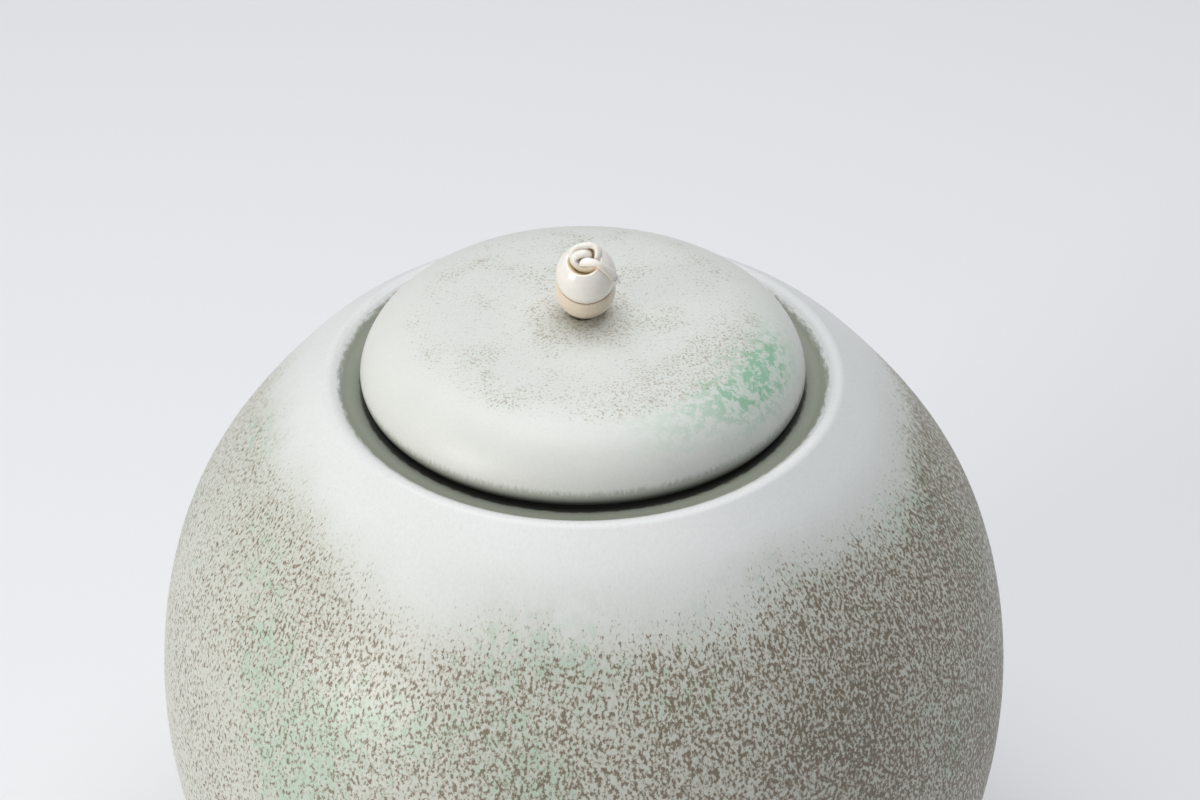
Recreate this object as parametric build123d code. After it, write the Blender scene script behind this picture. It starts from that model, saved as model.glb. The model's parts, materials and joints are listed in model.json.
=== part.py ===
"""Round stoneware jar with a loose domed lid and a two-bead knob tied on with a lace.

Millimetres, +Z up. The origin is the centre of the foot's resting plane.
"""
import os
from math import cos, radians, sin, sqrt

from build123d import *

# Jar: the belly is a full round, a little fuller than an ellipse
BELLY_RADIUS = 100.0
BELLY_HALF_HEIGHT = 102.0
BELLY_FULLNESS = 2.12
BELLY_STEPS_UP = [0.68, 0.86, 0.965]
BELLY_STEPS_IN = [0.965, 0.86, 0.7]
EQUATOR_Z = 95.0
WALL = 6.5
FLOOR_Z = 10.0
FLOOR_RADIUS = 36.0
FLOOR_CORNER = 5.0
WALL_FOOT_RADIUS = 40.0

# Foot ring under the jar
FOOT_TOP_RADIUS = 47.5
FOOT_RADIUS = 46.4
FOOT_WIDTH = 7.0
FOOT_RECESS = 3.5
FOOT_SPLAY = 1.0
FOOT_EDGE = 0.8

# Mouth: a rounded lip, a sloping band inside it and the flat seat for the lid
SHOULDER_RADIUS = 58.6
LIP_CORNER = 1.8
LIP_EDGE = 2.4
SEAT_RADIUS = 52.6
SEAT_Z = 176.5
SEAT_COVE = 3.0
THROAT_RADIUS = 44.0
THROAT_EDGE = 1.2
LEDGE_THICKNESS = 6.2
LEDGE_ROOT = 3.0
WALL_TOP_RADIUS = 61.0

# Lid: low dome that rounds over into its rim, locating flange that hangs in the throat
LID_GAP = 0.06
LID_RADIUS = 49.75
LID_APEX_Z = 194.0
LID_FLATNESS = 6.4
LID_FULLNESS = 1.65
LID_STEPS_OUT = [0.3, 0.5, 0.66, 0.78, 0.87, 0.935, 0.975, 0.994]
RIM_UNDER_ROUND = 3.5
LID_THICKNESS = 6.5
FLANGE_RADIUS = 42.6
FLANGE_INNER_RADIUS = 38.2
FLANGE_TAPER = 0.8
FLANGE_DEPTH = 8.0
FLANGE_ROOT = 0.8
FLANGE_EDGE = 1.8
HOLLOW_SIDE_Z = 184.5
HOLLOW_ROUND = 6.0
LACE_HOLE_RADIUS = 1.3
LACE_HOLE_EDGE = 0.3
LACE_HOLE_SINK = 3.2

# Knob: a bead with a deep round seat, and a second bead that leans forward in it
SEAT_BEAD_RADIUS = 6.7
SEAT_BEAD_CENTRE = Vector(0.6, 0, 200.48)
SEAT_BEAD_HOLE_RADIUS = 1.5
SEAT_BEAD_EDGE = 0.3
BALL_RADIUS = 6.59
BALL_CENTRE = Vector(0.76, -2.88, 206.07)
BALL_SEAT_GAP = 0.08
BALL_TILT = 27.3
BALL_TILT_TOWARDS = 259.0
BALL_BORE_RADIUS = 1.2
BALL_DISH_RADIUS = 3.67
BALL_DISH_DEPTH = 2.95
BALL_DISH_FLOOR_WIDTH = 0.9
BALL_DISH_FLOOR_RISE = 0.45
BALL_MOUTH_RADIUS = 2.8
BALL_MOUTH_DEPTH = 2.1
BALL_DISH_EDGE = 0.35
BALL_DISH_ROUND = 1.6
BALL_BORE_EDGE = 0.4

# Lace: one length, knotted above the ball and under the lid
LACE_RADIUS = 0.75
TAIL_RADIUS = 0.55
TOP_KNOT_RADIUS = 2.5
TOP_KNOT_RISE = 5.4
UNDER_KNOT_RADIUS = 2.9
UNDER_KNOT_GAP = 0.2
STEM_AT_SEAT_BEAD = Vector(0.3, 0.15, 197.8)
STEM_BELOW_BALL = 3.9
STEM_BENDS = [5.0, 8.0]
TAIL_START = Vector(-0.1, -0.3, 0.6)
TAIL_FROM_BALL = [Vector(2.71, -4.94, 5.11), Vector(4.74, -4.99, 3.25), Vector(6.31, -4.23, 0.23)]
TAIL_BENDS = [2.0, 3.0]
UNDER_TAIL_FROM_KNOT = [Vector(5.0, -2.0, -1.2), Vector(8.0, -2.6, -3.2)]
UNDER_TAIL_BENDS = [3.0]

BORE_AXIS = Vector(
    sin(radians(BALL_TILT)) * cos(radians(BALL_TILT_TOWARDS)),
    sin(radians(BALL_TILT)) * sin(radians(BALL_TILT_TOWARDS)),
    cos(radians(BALL_TILT)),
)


def belly_point(radius, side, inset=0.0):
    """Point of the belly's outline at a radius, above (side 1) or below (-1) the equator."""
    fraction = radius / (BELLY_RADIUS - inset)
    rise = (BELLY_HALF_HEIGHT - inset) * (1 - fraction**2) ** (1 / BELLY_FULLNESS)
    return Vector(radius, EQUATOR_Z + side * rise)


def belly_slope(radius, side, inset=0.0):
    """Unit direction of the belly's outline at a radius, on the way up."""
    step = 0.01
    before = belly_point(radius + step, side, inset)
    after = belly_point(radius - step, side, inset)
    return (after - before).normalized() * side


def belly_curve(bottom_radius, top_radius, inset=0.0):
    """Smooth curve round the belly from near the foot to near the mouth."""
    reach = BELLY_RADIUS - inset
    lower = [bottom_radius] + [step * reach for step in BELLY_STEPS_UP]
    upper = [step * reach for step in BELLY_STEPS_IN] + [top_radius]
    points = [belly_point(r, -1, inset) for r in lower]
    points.append(Vector(reach, EQUATOR_Z))
    points += [belly_point(r, 1, inset) for r in upper]
    ends = (belly_slope(bottom_radius, -1, inset), belly_slope(top_radius, 1, inset))
    return Spline(*points, tangents=ends)


def revolved(outline, corner=None, rounding=0.0):
    """Full turn about +Z of a closed outline drawn as (radius, height), one corner rounded."""
    face = make_face(outline)
    if corner:
        face = fillet(face.vertices().sort_by_distance(corner)[0], rounding)
    return revolve(Plane.XZ * face, Axis.Z, 360)


def make_jar():
    ledge_z = SEAT_Z - LEDGE_THICKNESS
    outside = belly_curve(FOOT_TOP_RADIUS, SHOULDER_RADIUS)
    lip = outside @ 1 + (outside % 1) * LIP_CORNER
    inside = belly_curve(WALL_FOOT_RADIUS, WALL_TOP_RADIUS, WALL)
    root = inside @ 1 + (inside % 1) * (ledge_z - (inside @ 1).Y) / (inside % 1).Y
    mouth = FilletPolyline(
        outside @ 1,
        lip,
        (SEAT_RADIUS, SEAT_Z),
        (THROAT_RADIUS, SEAT_Z),
        (THROAT_RADIUS, ledge_z),
        root,
        inside @ 1,
        radius=[LIP_EDGE, SEAT_COVE, THROAT_EDGE, THROAT_EDGE, LEDGE_ROOT],
    )
    foot = FilletPolyline(
        (0, FOOT_RECESS),
        (FOOT_RADIUS - FOOT_WIDTH - FOOT_SPLAY, FOOT_RECESS),
        (FOOT_RADIUS - FOOT_WIDTH, 0),
        (FOOT_RADIUS, 0),
        outside @ 0,
        radius=FOOT_EDGE,
    )
    floor = FilletPolyline(
        (0, FOOT_RECESS),
        (0, FLOOR_Z),
        (FLOOR_RADIUS, FLOOR_Z),
        inside @ 0,
        radius=[0, FLOOR_CORNER],
    )
    return revolved(outside + mouth + inside + floor + foot)


def lid_point(radius, widest_z):
    """Point of the lid's upper outline at a radius: nearly flat at the middle, upright at the rim."""
    rise = (1 - (radius / LID_RADIUS) ** LID_FLATNESS) ** (1 / LID_FULLNESS)
    return Vector(radius, widest_z + (LID_APEX_Z - widest_z) * rise)


def make_lid():
    base_z = SEAT_Z + LID_GAP
    widest_z = base_z + RIM_UNDER_ROUND
    top_points = [Vector(LACE_HOLE_SINK, LID_APEX_Z)]
    top_points += [lid_point(LID_RADIUS * step, widest_z) for step in LID_STEPS_OUT]
    top_points.append(Vector(LID_RADIUS, widest_z))
    top = Spline(*top_points, tangents=((1, 0), (0, -1)))
    rim_under = JernArc(top @ 1, (0, -1), RIM_UNDER_ROUND, -90)
    hollow_z = LID_APEX_Z - LID_THICKNESS
    hole_low = LACE_HOLE_RADIUS + LACE_HOLE_EDGE
    underside = FilletPolyline(
        rim_under @ 1,
        (FLANGE_RADIUS, base_z),
        (FLANGE_RADIUS, base_z - FLANGE_DEPTH),
        (FLANGE_INNER_RADIUS, base_z - FLANGE_DEPTH),
        (FLANGE_INNER_RADIUS - FLANGE_TAPER, HOLLOW_SIDE_Z),
        (hole_low, hollow_z),
        radius=[FLANGE_ROOT, FLANGE_EDGE, FLANGE_EDGE, HOLLOW_ROUND],
    )
    sink = LACE_HOLE_SINK - LACE_HOLE_RADIUS
    lace_hole = Polyline(
        (hole_low, hollow_z),
        (LACE_HOLE_RADIUS, hollow_z + LACE_HOLE_EDGE),
        (LACE_HOLE_RADIUS, LID_APEX_Z - sink),
        top @ 0,
    )
    return revolved(top + rim_under + underside + lace_hole)


def make_seat_bead():
    """Ball with an upright hole, its top cut to a round seat that the second bead leans in."""
    bead = Pos(*SEAT_BEAD_CENTRE) * Sphere(SEAT_BEAD_RADIUS)
    bead -= Pos(*BALL_CENTRE) * Sphere(BALL_RADIUS + BALL_SEAT_GAP)
    bead = fillet(bead.edges(), SEAT_BEAD_EDGE)
    return bead - Pos(*SEAT_BEAD_CENTRE) * Cylinder(SEAT_BEAD_HOLE_RADIUS, 4 * SEAT_BEAD_RADIUS)


def make_ball_bead():
    """Ball with a dished mouth for the knot; turned on its bore, then tilted forward."""
    dish_z = sqrt(BALL_RADIUS**2 - BALL_DISH_RADIUS**2)
    mouth_z = -sqrt(BALL_RADIUS**2 - BALL_MOUTH_RADIUS**2)
    ball = ThreePointArc((BALL_MOUTH_RADIUS, mouth_z), (BALL_RADIUS, 0), (BALL_DISH_RADIUS, dish_z))
    bore = FilletPolyline(
        (BALL_DISH_RADIUS, dish_z),
        (BALL_BORE_RADIUS + BALL_DISH_FLOOR_WIDTH, dish_z - BALL_DISH_DEPTH + BALL_DISH_FLOOR_RISE),
        (BALL_BORE_RADIUS, dish_z - BALL_DISH_DEPTH),
        (BALL_BORE_RADIUS, mouth_z + BALL_MOUTH_DEPTH),
        (BALL_MOUTH_RADIUS, mouth_z),
        radius=[BALL_DISH_ROUND, BALL_BORE_EDGE, BALL_BORE_EDGE],
    )
    bead = revolved(ball + bore, (BALL_DISH_RADIUS, dish_z), BALL_DISH_EDGE)
    return Plane(BALL_CENTRE, z_dir=BORE_AXIS) * bead


def tube(points, radii, radius):
    """Round tube along straight runs joined by arcs, with its ends open faces."""
    route = FilletPolyline(*points, radius=radii)
    section = Plane(route @ 0, z_dir=route % 0) * Circle(radius)
    return sweep(section, path=route)


def make_lace():
    """Stem up through lid and both beads; a knot at each end; a short tail from each knot."""
    under_z = LID_APEX_Z - LID_THICKNESS - UNDER_KNOT_GAP - UNDER_KNOT_RADIUS
    under_centre = Vector(0, 0, under_z)
    top_centre = BALL_CENTRE + BORE_AXIS * TOP_KNOT_RISE
    ball_mouth = BALL_CENTRE - BORE_AXIS * STEM_BELOW_BALL
    stem_route = [under_centre, STEM_AT_SEAT_BEAD, ball_mouth, top_centre]
    stem = tube(stem_route, STEM_BENDS, LACE_RADIUS)
    tail_route = [top_centre + TAIL_START] + [BALL_CENTRE + step for step in TAIL_FROM_BALL]
    tail = tube(tail_route, TAIL_BENDS, TAIL_RADIUS)
    under_route = [under_centre] + [under_centre + step for step in UNDER_TAIL_FROM_KNOT]
    under_tail = tube(under_route, UNDER_TAIL_BENDS, TAIL_RADIUS)
    top_knot = Pos(*top_centre) * Sphere(TOP_KNOT_RADIUS)
    under_knot = Pos(*under_centre) * Sphere(UNDER_KNOT_RADIUS)
    return stem + top_knot + tail + under_knot + under_tail


def main():
    os.makedirs("parts", exist_ok=True)
    makers = {
        "jar_body": make_jar,
        "lid": make_lid,
        "seat_bead": make_seat_bead,
        "ball_bead": make_ball_bead,
        "lace": make_lace,
    }
    for name, make in makers.items():
        piece = make()
        export_step(piece, os.path.join("parts", name + ".step"))
        print(name, "volume", round(piece.volume, 1))


main()
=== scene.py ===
import json
import math
import random

import bmesh
import bpy
from mathutils import Matrix, Vector


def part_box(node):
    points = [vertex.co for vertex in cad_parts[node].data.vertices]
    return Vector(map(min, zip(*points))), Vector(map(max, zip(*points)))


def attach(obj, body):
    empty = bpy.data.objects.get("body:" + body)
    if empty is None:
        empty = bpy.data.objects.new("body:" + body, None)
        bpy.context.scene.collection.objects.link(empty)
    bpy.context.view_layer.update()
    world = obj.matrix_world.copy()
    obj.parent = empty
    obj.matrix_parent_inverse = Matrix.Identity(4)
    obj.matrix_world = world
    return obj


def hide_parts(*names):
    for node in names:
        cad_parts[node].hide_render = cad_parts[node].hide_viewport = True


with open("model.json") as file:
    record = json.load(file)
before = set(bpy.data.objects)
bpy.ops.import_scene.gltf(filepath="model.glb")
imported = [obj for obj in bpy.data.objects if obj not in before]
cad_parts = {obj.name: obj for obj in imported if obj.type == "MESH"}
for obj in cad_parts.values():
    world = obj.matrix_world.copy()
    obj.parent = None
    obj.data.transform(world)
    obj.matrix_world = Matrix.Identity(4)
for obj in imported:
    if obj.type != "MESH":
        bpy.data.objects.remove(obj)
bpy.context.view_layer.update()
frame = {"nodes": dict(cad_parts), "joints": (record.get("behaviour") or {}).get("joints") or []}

MM = 0.001
nodes = frame["nodes"]
joints = {joint["name"]: joint for joint in frame["joints"]}

# Heights and places that the glazes and the lace are laid out from
jar_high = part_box("jar_body")[1]
lid_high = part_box("lid")[1]
BELLY_RADIUS = jar_high.x
EQUATOR_Z = 95 * MM
BELLY_HALF_HEIGHT = 102 * MM
BELLY_FULLNESS = 2.12
LIP_Z = jar_high.z
LID_TOP_Z = lid_high.z
BALL_CENTRE = Vector(joints["ball_bead_turn"]["pos_m"])
BALL_RADIUS = 6.59 * MM
BORE_AXIS = Vector(joints["ball_bead_turn"]["axis"]).normalized()
SEAT_BEAD_CENTRE = Vector((0.6 * MM, 0, LID_TOP_Z + 6.48 * MM))
SEAT_BEAD_RADIUS = 6.7 * MM


# ---------------------------------------------------------------- camera and light

CAMERA_PITCH = math.radians(34.78)
CAMERA_DISTANCE = 627.7 * MM
CAMERA_AIM = Vector((3.8 * MM, -3.4 * MM, LIP_Z - 6.2 * MM))
LENS_MM = 84
SENSOR_MM = 36
COOL_LIGHT = (0.97, 0.985, 1.0)
WARM_LIGHT = (1.0, 0.965, 0.92)


def add_camera():
    data = bpy.data.cameras.new("camera")
    data.lens = LENS_MM
    data.sensor_width = SENSOR_MM
    data.clip_start = 0.01
    data.clip_end = 50
    camera = bpy.data.objects.new("camera", data)
    back = Vector((0, -math.cos(CAMERA_PITCH), math.sin(CAMERA_PITCH)))
    camera.location = CAMERA_AIM + back * CAMERA_DISTANCE
    camera.rotation_euler = (math.pi / 2 - CAMERA_PITCH, 0, 0)
    bpy.context.scene.collection.objects.link(camera)
    bpy.context.scene.camera = camera


def add_softbox(name, place, aim, width, height, watts, colour):
    """A rectangular area light at a place, facing another."""
    data = bpy.data.lights.new(name, "AREA")
    data.shape = "RECTANGLE"
    data.size = width
    data.size_y = height
    data.energy = watts
    data.color = colour
    light = bpy.data.objects.new(name, data)
    light.location = place
    light.rotation_euler = (Vector(aim) - Vector(place)).to_track_quat("-Z", "Y").to_euler()
    bpy.context.scene.collection.objects.link(light)


def add_lights():
    add_softbox("ceiling", (-0.02, 0.18, 1.7), (0, 0, 0.1), 1.7, 1.5, 24, COOL_LIGHT)
    add_softbox("window", (-1.2, -0.82, 0.44), (0, 0, 0.12), 0.55, 0.5, 10, WARM_LIGHT)
    world = bpy.data.worlds.new("room")
    world.use_nodes = True
    background = world.node_tree.nodes["Background"]
    background.inputs["Color"].default_value = (0.93, 0.95, 1.0, 1)
    background.inputs["Strength"].default_value = 0.18
    bpy.context.scene.world = world
    bpy.context.scene.view_settings.view_transform = "Standard"


def add_floor():
    bm = bmesh.new()
    bmesh.ops.create_grid(bm, x_segments=1, y_segments=1, size=5)
    mesh = bpy.data.meshes.new("floor")
    bm.to_mesh(mesh)
    bm.free()
    floor = bpy.data.objects.new("floor", mesh)
    bpy.context.scene.collection.objects.link(floor)
    finish = Finish("pale_floor", roughness=0.75)
    finish.paint((0.90, 0.90, 0.915))
    mesh.materials.append(finish.material)


# ---------------------------------------------------------------- shader maths


class Wire:
    """The output socket of a shader node. Arithmetic on wires adds Math nodes."""

    def __init__(self, socket):
        self.socket = socket

    def node(self, kind, settings=(), inputs=(), output=0):
        """Any other node in the same tree: its type, its settings, then what goes into its sockets."""
        tree = self.socket.id_data
        made = tree.nodes.new("ShaderNode" + kind)
        for name, value in dict(settings).items():
            setattr(made, name, value)
        for name, value in dict(inputs).items():
            if isinstance(value, Wire):
                tree.links.new(value.socket, made.inputs[name])
            else:
                made.inputs[name].default_value = value
        return Wire(made.outputs[output])

    def math(self, operation, first, second=0.0):
        return self.node("Math", {"operation": operation}, {0: first, 1: second})

    def __add__(self, other):
        return self.math("ADD", self, other)

    def __radd__(self, other):
        return self.math("ADD", other, self)

    def __sub__(self, other):
        return self.math("SUBTRACT", self, other)

    def __rsub__(self, other):
        return self.math("SUBTRACT", other, self)

    def __mul__(self, other):
        return self.math("MULTIPLY", self, other)

    def __rmul__(self, other):
        return self.math("MULTIPLY", other, self)

    def __truediv__(self, other):
        return self.math("DIVIDE", self, other)

    def __rtruediv__(self, other):
        return self.math("DIVIDE", other, self)

    def __pow__(self, other):
        return self.math("POWER", self, other)

    def __abs__(self):
        return self.math("ABSOLUTE", self)

    def root(self):
        return self.math("SQRT", self)

    def least(self, other):
        return self.math("MINIMUM", self, other)

    def most(self, other):
        return self.math("MAXIMUM", self, other)

    def angle_from(self, along):
        """The angle whose tangent is this over along."""
        return self.math("ARCTAN2", self, along)

    def rise(self, start, end):
        """0 before start, 1 after end, smooth between."""
        settings = {"interpolation_type": "SMOOTHSTEP"}
        return self.node("MapRange", settings, {"Value": self, "From Min": start, "From Max": end})

    def fall(self, start, end):
        """1 before start, 0 after end, smooth between."""
        return 1 - self.rise(start, end)


class Finish:
    """A material: its shader, the object coordinates it reads, and the mixes that paint it."""

    def __init__(self, name, roughness, **constants):
        self.material = bpy.data.materials.new(name)
        self.material.use_nodes = True
        self.shader = self.material.node_tree.nodes["Principled BSDF"]
        self.shader.inputs["Roughness"].default_value = roughness
        for socket, value in constants.items():
            self.shader.inputs[socket.replace("_", " ").title()].default_value = value
        place = self.material.node_tree.nodes.new("ShaderNodeTexCoord")
        self.place = Wire(place.outputs["Object"])

    def split(self, vector):
        """The three parts of a vector."""
        first = vector.node("SeparateXYZ", {}, {0: vector})
        others = [Wire(first.socket.node.outputs[i]) for i in (1, 2)]
        return first, *others

    def join(self, x, y, z):
        return self.place.node("CombineXYZ", {}, {0: x, 1: y, 2: z})

    def noise(self, vector, size, detail=2.0, roughness=0.5):
        """Soft random blobs about size metres across, from 0 to 1."""
        inputs = {
            "Vector": vector,
            "Scale": 1 / size,
            "Detail": detail,
            "Roughness": roughness,
        }
        return self.place.node("TexNoise", {}, inputs)

    def blend(self, amount, under, over):
        """The colour under, covered by over as far as amount says."""
        colours = {0: amount, 6: self.opaque(under), 7: self.opaque(over)}
        return self.place.node("Mix", {"data_type": "RGBA"}, colours, output=2)

    def tint(self, colour, amount):
        """A colour made lighter or darker by a number that varies."""
        grey = self.join(amount, amount, amount)
        return self.place.node("VectorMath", {"operation": "MULTIPLY"}, {0: colour, 1: grey})

    @staticmethod
    def opaque(colour):
        return colour if isinstance(colour, Wire) else (*colour, 1)

    def link(self, value, socket):
        self.material.node_tree.links.new(value.socket, self.shader.inputs[socket])

    def paint(self, colour):
        if isinstance(colour, Wire):
            self.link(colour, "Base Color")
        else:
            self.shader.inputs["Base Color"].default_value = (*colour, 1)

    def relief(self, height, strength, depth):
        """Bumps on the surface, depth metres high where height goes from 0 to 1."""
        inputs = {"Height": height, "Strength": strength, "Distance": depth}
        self.link(self.place.node("Bump", {}, inputs), "Normal")

    def dress(self, piece):
        """Puts this finish on every material slot of a piece."""
        if not piece.material_slots:
            piece.data.materials.append(self.material)
        for slot in piece.material_slots:
            slot.material = self.material


# ---------------------------------------------------------------- glazes

WHITE_GLAZE = (0.77, 0.785, 0.77)
CELADON = (0.62, 0.64, 0.575)
MINT = (0.47, 0.62, 0.50)
IRON_BROWN = (0.15, 0.11, 0.065)
TAN = (0.40, 0.35, 0.26)
# near black, a painted shade: on the jar's seat it is the lid's shadow, on the lid's underside its shade
PAINTED_SHADE_BLACK = (0.055, 0.058, 0.05)
THIN_GLAZE = (0.31, 0.33, 0.27)
BARE_CLAY = (0.42, 0.38, 0.32)
LID_WHITE = (0.745, 0.755, 0.715)
LID_MIST = (0.69, 0.735, 0.675)
LID_TAN = (0.52, 0.47, 0.38)
LID_BROWN = (0.28, 0.22, 0.14)
POOL_GREEN = (0.24, 0.50, 0.32)
RIM_GREY = (0.46, 0.48, 0.43)

# Where the thin, smooth glaze ends inside the lip, and where the near-black painted shadow under the lid's
# rim lies on the seat
BAND_INNER_RADIUS = 54.0 * MM
BAND_OUTER_RADIUS = 55.4 * MM
SEAT_SHADOW_FULL_RADIUS = 49.6 * MM
SEAT_SHADOW_END_RADIUS = 50.4 * MM


def running_place(finish, x, y, radius, polar):
    """Coordinates that are shorter down the belly than round it, so that spots are drawn out downwards."""
    reach = 0.085 / radius.most(1 * MM)
    return finish.join(x * reach, y * reach, polar * (BELLY_RADIUS / 1.45))


def make_jar_glaze():
    glaze = Finish("jar_glaze", roughness=0.46)
    x, y, z = glaze.split(glaze.place)
    radius = (x * x + y * y).root()
    height = z - EQUATOR_Z
    polar = radius.angle_from(height)
    turn = y.angle_from(x)
    run = running_place(glaze, x, y, radius, polar)
    degrees = polar * (180 / math.pi)

    # how thick the glaze lies: white round the mouth, broken by iron specks lower down; the specks are
    # packed denser towards +x, a painted shade on the right side
    drift = glaze.noise(glaze.place, 45 * MM, detail=3.0) - 0.5
    edge = degrees + drift * 16 + glaze.noise(run, 6 * MM) * 3 - 1.5 + abs(x) * 32
    broken = edge.rise(40, 53)
    clouds = glaze.noise(glaze.place, 28 * MM, detail=2.0)
    # x * 2.2 is painted shade: more specks towards +x darken the right, fewer towards -x lighten the left
    amount = broken * (0.78 + clouds * 0.45 + x * 2.2)

    grain = glaze.noise(run, 0.66 * MM, detail=2.5, roughness=0.6)
    level = 0.80 - amount * 0.275
    specks = (grain - level).rise(-0.04, 0.08)
    fringe = (grain - level).rise(-0.13, 0.03)

    greens = glaze.noise(run, 2.2 * MM, detail=2.0)
    pools = glaze.noise(glaze.place, 38 * MM, detail=1.0)
    green = broken * (greens * 0.6 + pools).rise(0.82, 1.02)

    fine = glaze.noise(run, 0.6 * MM, detail=2.0)
    ground = glaze.blend(broken, WHITE_GLAZE, CELADON)
    ground = glaze.blend(green * 0.75, ground, MINT)
    ground = glaze.tint(ground, 0.93 + fine * 0.14)
    colour = glaze.blend(fringe * 0.5, ground, TAN)
    colour = glaze.blend(specks * 0.8, colour, IRON_BROWN)

    # the sloping band inside the lip and the inside have a thin, smooth glaze; the seat under the lid's
    # rim is painted near black, a painted shadow
    fray = glaze.noise(glaze.join(turn * 20 * MM, z, radius), 0.8 * MM, detail=3.0) - 0.5
    mouth = z.rise(165 * MM, 168 * MM)
    lip = (radius + fray * (2.4 * MM)).fall(BAND_INNER_RADIUS, BAND_OUTER_RADIUS) * mouth
    fullness = (radius / BELLY_RADIUS) ** BELLY_FULLNESS
    fullness = fullness + (abs(height) / BELLY_HALF_HEIGHT) ** BELLY_FULLNESS
    thin = lip.most(fullness.fall(0.90, 0.93) * z.rise(8 * MM, 9 * MM))
    smooth = glaze.tint(glaze.join(*THIN_GLAZE), 0.94 + fine * 0.12)
    colour = glaze.blend(thin, colour, smooth)
    # painted shadow: the seat just inside the lid's rim is painted near black where the lid shades it
    seat = (radius + fray * MM).fall(SEAT_SHADOW_FULL_RADIUS, SEAT_SHADOW_END_RADIUS)
    seat = seat * radius.rise(43 * MM, 44 * MM) * mouth
    colour = glaze.blend(seat, colour, PAINTED_SHADE_BLACK)

    # the foot is left bare
    bare = (z + drift * (2 * MM)).fall(4.5 * MM, 6.5 * MM)
    clay = glaze.tint(glaze.join(*BARE_CLAY), 0.85 + grain * 0.3)
    colour = glaze.blend(bare, colour, clay)
    glaze.paint(colour)
    dry = 0.38 + specks * 0.12 * (1 - thin) + bare * 0.4
    glaze.link(dry, "Roughness")
    glaze.relief(fine * 0.5 + (1 - specks) * 0.5 * (1 - thin), 0.35, 0.06 * MM)
    return glaze


def make_lid_glaze():
    glaze = Finish("lid_glaze", roughness=0.46)
    x, y, z = glaze.split(glaze.place)
    radius = (x * x + y * y).root()
    turn = y.angle_from(x) * (180 / math.pi)
    fine = glaze.noise(glaze.place, 0.55 * MM, detail=2.0)
    grain = glaze.noise(glaze.place, 0.6 * MM, detail=2.5, roughness=0.6)
    drift = glaze.noise(glaze.place, 12 * MM, detail=2.0)

    # iron specks: most round the knob, along the pool's inner edge and in drifts between
    by_knob = radius.fall(8 * MM, 15 * MM) * 0.6
    near_rim = radius.fall(37 * MM, 43 * MM)
    by_pool = radius.rise(24 * MM, 31 * MM) * abs(turn + 45).fall(30, 60)
    amount = near_rim * (0.55 + drift.rise(0.42, 0.72) * 0.45 + by_knob + by_pool * 0.4).least(1.0)
    level = 0.80 - amount * 0.245
    specks = (grain - level).rise(-0.04, 0.08)
    fringe = (grain - level).rise(-0.14, 0.03)

    # the green pool along the right-hand rim
    bow = abs(turn + 34)
    mottle = glaze.noise(glaze.place, 1.9 * MM, detail=4.0, roughness=0.7).rise(0.42, 0.58)
    blot = glaze.noise(glaze.place, 7 * MM, detail=2.0)
    along = (bow + drift * 24 - 12).fall(6, 56)
    across = abs(radius - 41.5 * MM + (blot - 0.5) * (9 * MM)).fall(0.5 * MM, 9.5 * MM)
    pool = along * across * (0.12 + mottle * 0.55) * (0.5 + blot)
    heart = abs(turn + 26).fall(4, 26) * abs(radius - 43.0 * MM).fall(1.5 * MM, 7 * MM)
    pool = (pool + heart * (0.22 + mottle * 0.55)).least(1.0)

    ground = glaze.blend(drift.rise(0.3, 0.7) * 0.35, LID_WHITE, LID_MIST)
    ground = glaze.tint(ground, 0.95 + fine * 0.10)
    colour = glaze.blend(pool * 0.85, ground, POOL_GREEN)
    colour = glaze.blend(fringe * 0.30, colour, LID_TAN)
    colour = glaze.blend(specks * 0.48, colour, LID_BROWN)

    # the glaze draws back from the lower edge of the rim, in fine runs, to a grey edge; below it the rim
    # is painted darker to near black towards the underside, a painted shade; the line sits higher towards
    # +x and the front, painting that shade further up the right and front
    runs = glaze.noise(glaze.join(x, y, z * 0.25), 0.6 * MM, detail=3.0) - 0.5
    glaze_edge_and_shade_line = 180.7 * MM + x * 0.008 - y * 0.010
    under = (z - glaze_edge_and_shade_line + runs * (2.2 * MM)).fall(-0.9 * MM, 0.9 * MM)
    # grey where the glaze is thin, darkening to near black at the underside: painted shade
    smooth = glaze.blend(z.fall(178.2 * MM, 180.8 * MM), RIM_GREY, PAINTED_SHADE_BLACK)
    colour = glaze.blend(under, colour, glaze.tint(smooth, 0.9 + fine * 0.2))
    glaze.paint(colour)
    glaze.link(0.44 + specks * 0.1 + under * 0.1, "Roughness")
    glaze.relief(fine * 0.5 + (1 - specks) * 0.5, 0.3, 0.05 * MM)
    return glaze


# ---------------------------------------------------------------- knob


def make_bead_finish(name, outside, shade, inside, centre, radius, roughness):
    """Lacquer over close-grained wood, darker and warmer inside the bead's hollow."""
    finish = Finish(name, roughness, coat_weight=0.35, coat_roughness=0.12, subsurface_weight=0.12)
    finish.shader.inputs["Subsurface Radius"].default_value = (1.0, 0.6, 0.4)
    finish.shader.inputs["Subsurface Scale"].default_value = 1.2 * MM
    offset = finish.place.node("VectorMath", {"operation": "SUBTRACT"}, {0: finish.place, 1: centre})
    x, y, z = finish.split(offset)
    depth = (x * x + y * y + z * z).root()
    fibres = finish.noise(finish.join(x, y, z * 0.12), 0.55 * MM, detail=3.0)
    rings = finish.noise(finish.join(x * 0.3, y * 0.3, z), 1.1 * MM, detail=2.0)
    colour = finish.blend((fibres * 0.6 + rings * 0.4).rise(0.38, 0.62), outside, shade)
    hollow = depth.fall(radius - 0.42 * MM, radius - 0.12 * MM)
    colour = finish.blend(hollow, colour, inside)
    finish.paint(colour)
    finish.link(roughness + hollow * 0.25, "Roughness")
    finish.relief(fibres, 0.15, 0.03 * MM)
    return finish


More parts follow.
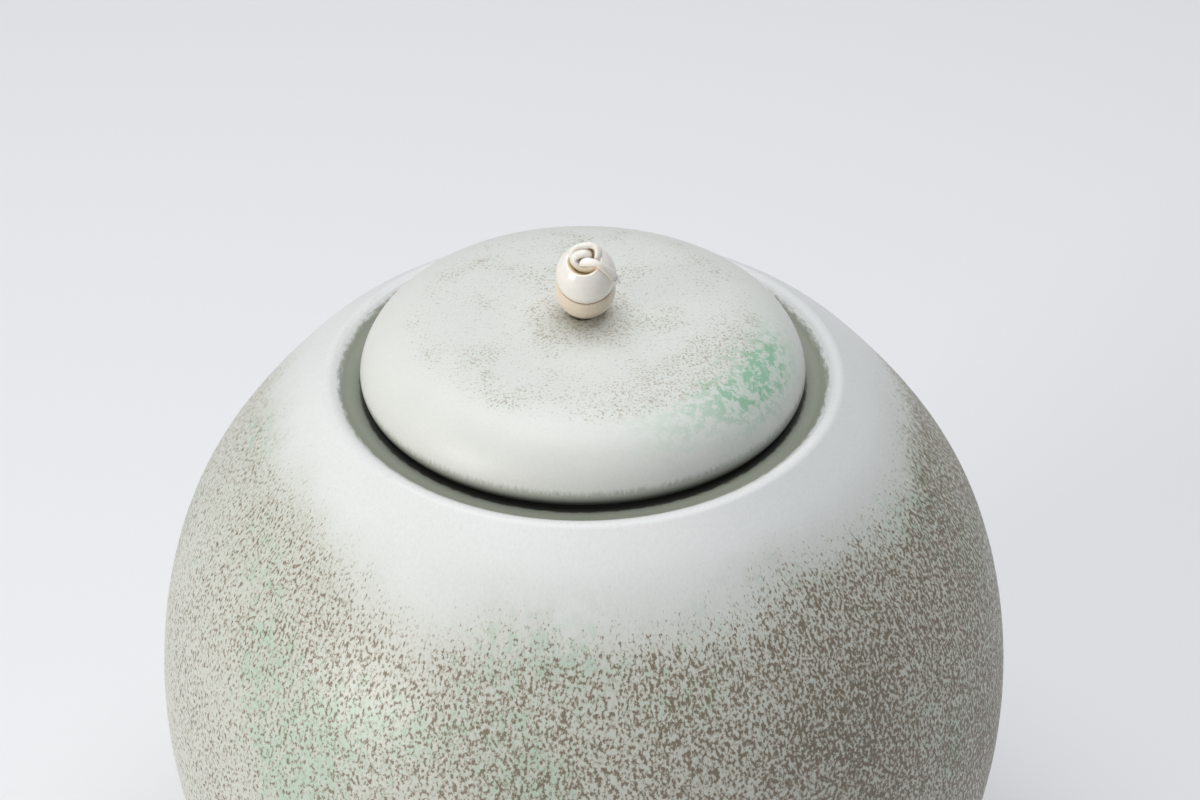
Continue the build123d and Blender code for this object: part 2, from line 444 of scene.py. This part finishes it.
def make_lace_finish():
    """Soft undyed hide: fine fibres along its length, warmer where it is thick."""
    finish = Finish("lace_hide", roughness=0.6, subsurface_weight=0.3)
    finish.shader.inputs["Subsurface Radius"].default_value = (1.0, 0.7, 0.45)
    finish.shader.inputs["Subsurface Scale"].default_value = 0.8 * MM
    grain = finish.place.node("Attribute", {"attribute_name": "grain"}, {}, output=1)
    fibres = finish.noise(grain, 0.22, detail=3.0, roughness=0.6)
    patches = finish.noise(finish.place, 1.6 * MM, detail=2.0)
    colour = finish.blend(patches.rise(0.35, 0.7), (0.93, 0.90, 0.85), (0.89, 0.83, 0.74))
    finish.paint(finish.tint(colour, 0.88 + fibres * 0.24))
    finish.relief(fibres, 0.5, 0.08 * MM)
    return finish


# Local directions at the ball's dish: right, back (away from the eye) and out along the bore
BACK = (Vector((0, 1, 0)) - BORE_AXIS * BORE_AXIS.y).normalized()
RIGHT = BACK.cross(BORE_AXIS)


def dish_point(right, back, out):
    """A point given in mm from the ball's centre in its dish's own directions."""
    return BALL_CENTRE + (RIGHT * right + BACK * back + BORE_AXIS * out) * MM


def under_knot(centre):
    """Overhand knot lying flat under the lid, entered from the tail's side and left towards the stem."""
    turns = 14
    reach, lift = 0.68 * MM, 0.62 * MM
    points = []
    for i in range(turns):
        t = math.pi * (1.12 + 1.76 * i / (turns - 1))
        across = math.sin(t) + 2 * math.sin(2 * t)
        along = math.cos(t) - 2 * math.cos(2 * t)
        points.append(centre + Vector((across * reach, along * reach, -math.sin(3 * t) * lift)))
    return points


def lace_route():
    """The lace's line: under the lid, knot, up through lid and both beads, knot in the dish, tail."""
    knot_centre = Vector((0, 0, LID_TOP_Z - 9.6 * MM))
    under_tail = [
        knot_centre + Vector((8.0, -2.6, -3.2)) * MM,
        knot_centre + Vector((5.0, -2.0, -1.2)) * MM,
    ]
    stem = [
        Vector((0, 0, LID_TOP_Z - 6.2 * MM)),
        Vector((0, 0, LID_TOP_Z - 2.5 * MM)),
        Vector((0.3 * MM, 0.15 * MM, LID_TOP_Z + 3.8 * MM)),
        dish_point(0, 0, -3.9),
        dish_point(0, 0, 0),
        dish_point(0, 0, 2.6),
    ]
    knot = [
        dish_point(-0.5, 0.3, 3.9),
        dish_point(-2.2, 0.4, 4.6),
        dish_point(-2.75, 1.7, 5.5),
        dish_point(-1.7, 2.95, 6.1),
        dish_point(0.6, 3.3, 6.3),
        dish_point(2.2, 3.2, 6.3),
        dish_point(3.3, 2.4, 6.1),
        dish_point(3.3, 0.9, 5.6),
        dish_point(2.6, -0.6, 4.2),
        dish_point(1.2, -1.2, 3.4),
        dish_point(-0.9, -0.9, 3.5),
        dish_point(-2.3, -0.1, 4.6),
        dish_point(-2.3, 0.9, 5.7),
        dish_point(-0.9, 1.4, 6.0),
        dish_point(0.8, 1.9, 5.7),
        dish_point(1.5, 1.5, 4.8),
        dish_point(0.4, 0.6, 4.5),
        dish_point(-0.6, 0.0, 4.9),
    ]
    tail = [
        dish_point(0.8, -0.6, 5.7),
        dish_point(2.6, -1.3, 6.35),
        dish_point(4.3, -2.1, 5.3),
        dish_point(5.8, -2.5, 3.0),
        dish_point(6.6, -2.9, 1.5),
    ]
    return under_tail + under_knot(knot_centre) + stem + knot + tail


def smooth_line(points):
    """Points along the smooth curve that the given points steer."""
    data = bpy.data.curves.new("route", "CURVE")
    data.dimensions = "3D"
    data.resolution_u = 8
    spline = data.splines.new("NURBS")
    spline.points.add(len(points) - 1)
    for place, point in zip(points, spline.points):
        point.co = (*place, 1)
    spline.order_u = 3
    spline.use_endpoint_u = True
    holder = bpy.data.objects.new("route", data)
    bpy.context.scene.collection.objects.link(holder)
    mesh = bpy.data.meshes.new_from_object(holder)
    line = [vertex.co.copy() for vertex in mesh.vertices]
    bpy.data.objects.remove(holder)
    bpy.data.meshes.remove(mesh)
    return line


def distances(line):
    """How far along the line each of its points is."""
    gone = [0.0]
    for before, after in zip(line, line[1:]):
        gone.append(gone[-1] + (after - before).length)
    return gone


def strand(bm, grain, line, first_side, size_at, segments):
    """A closed strand along a line; size_at gives its half width and half thickness at a distance."""
    gone = distances(line)
    side = first_side
    rings = []
    for i, place in enumerate(line):
        ahead = (line[min(i + 1, len(line) - 1)] - line[max(i - 1, 0)]).normalized()
        side = (side - ahead * side.dot(ahead)).normalized()
        up = ahead.cross(side)
        half_width, half_thickness = size_at(gone[i])
        frame_here = Matrix((side * half_width, up * half_thickness, ahead)).transposed().to_4x4()
        frame_here.translation = place
        ends = i in (0, len(line) - 1)
        ring = bmesh.ops.create_circle(
            bm, cap_ends=ends, segments=segments, radius=1, matrix=frame_here
        )["verts"]
        for j, vertex in enumerate(ring):
            angle = 2 * math.pi * j / segments
            vertex[grain] = (math.cos(angle), math.sin(angle), gone[i] / (1.6 * MM))
        rings.append(ring)
    for before, after in zip(rings, rings[1:]):
        edges = {e for v in before + after for e in v.link_edges if e.other_vert(v) in before}
        edges |= {e for v in after for e in v.link_edges if e.other_vert(v) in after}
        bmesh.ops.bridge_loops(bm, edges=list(edges))


def between(value, stops):
    """Straight-line reading of (position, value) stops."""
    for (start, low), (end, high) in zip(stops, stops[1:]):
        if value <= end:
            share = max(0.0, (value - start) / (end - start))
            return low + (high - low) * share
    return stops[-1][1]


# Half sizes along the lace in mm, as (distance from the tip of the upper tail, half size):
# flat in the tail, full in the knot, round in the stem
LACE_HALF_WIDTHS = [(0, 0.9), (1.5, 1.15), (3.4, 1.0), (6.0, 0.75), (8.2, 1.1), (26, 1.05), (32, 0.75)]
LACE_HALF_HEIGHTS = [(0, 0.16), (1.5, 0.2), (3.4, 0.28), (6.0, 0.36), (8.2, 0.60), (26, 0.64), (32, 0.75)]
FRAY_FIBRES = 16
FRAY_SEED = 11


def make_lace():
    line = smooth_line(lace_route())[::-1]
    gone = distances(line)
    # (mm from the tail's tip, mm across the half strand): flat in the tail and knot, round in the stem

    def size_at(distance):
        reach = distance / MM
        return between(reach, LACE_HALF_WIDTHS) * MM, between(reach, LACE_HALF_HEIGHTS) * MM

    bm = bmesh.new()
    grain = bm.verts.layers.float_vector.new("grain")
    way = (line[1] - line[0]).normalized()
    outwards = (line[0] - BALL_CENTRE).normalized()
    side = way.cross(outwards).normalized()
    strand(bm, grain, line, side, size_at, 12)
    add_fray(bm, grain, line[0], -way, side, outwards)
    bmesh.ops.recalc_face_normals(bm, faces=bm.faces)
    mesh = bpy.data.meshes.new("lace_tied")
    bm.to_mesh(mesh)
    bm.free()
    for face in mesh.polygons:
        face.use_smooth = True
    lace = bpy.data.objects.new("lace_tied", mesh)
    bpy.context.scene.collection.objects.link(lace)
    make_lace_finish().dress(lace)
    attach(lace, "knob_lace")
    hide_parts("lace")


def add_fray(bm, grain, tip, way, side, outwards):
    """Fine fibres standing out of the lace's cut end."""
    chance = random.Random(FRAY_SEED)
    for i in range(FRAY_FIBRES):
        across = (i / (FRAY_FIBRES - 1) * 2 - 1) * 0.8 * MM
        start = tip + side * across - way * 0.6 * MM + outwards * chance.uniform(-0.1, 0.1) * MM
        reach = chance.uniform(0.7, 1.9) * MM
        lean = side * (across * 0.5 + chance.uniform(-0.3, 0.3) * MM)
        lift = outwards * chance.uniform(-0.15, 0.4) * MM
        end = start + way * (reach + 0.6 * MM) + lean + lift
        middle = (start + end) / 2 + outwards * chance.uniform(0.0, 0.2) * MM
        fibre = smooth_line([start, middle, end])
        long = distances(fibre)[-1]
        thick = chance.uniform(0.07, 0.13) * MM

        def size_at(distance):
            taper = 1 - 0.6 * distance / long
            return thick * taper, thick * taper

        strand(bm, grain, fibre, side, size_at, 6)


add_camera()
make_lace()
add_floor()
add_lights()
make_jar_glaze().dress(nodes["jar_body"])
make_lid_glaze().dress(nodes["lid"])
make_bead_finish(
    "seat_bead_wood",
    (0.88, 0.77, 0.63),
    (0.82, 0.70, 0.55),
    (0.76, 0.62, 0.46),
    SEAT_BEAD_CENTRE,
    SEAT_BEAD_RADIUS,
    0.32,
).dress(nodes["seat_bead"])
make_bead_finish(
    "ball_bead_lacquer",
    (0.95, 0.915, 0.86),
    (0.92, 0.875, 0.81),
    (0.90, 0.75, 0.52),
    BALL_CENTRE,
    BALL_RADIUS,
    0.26,
).dress(nodes["ball_bead"])
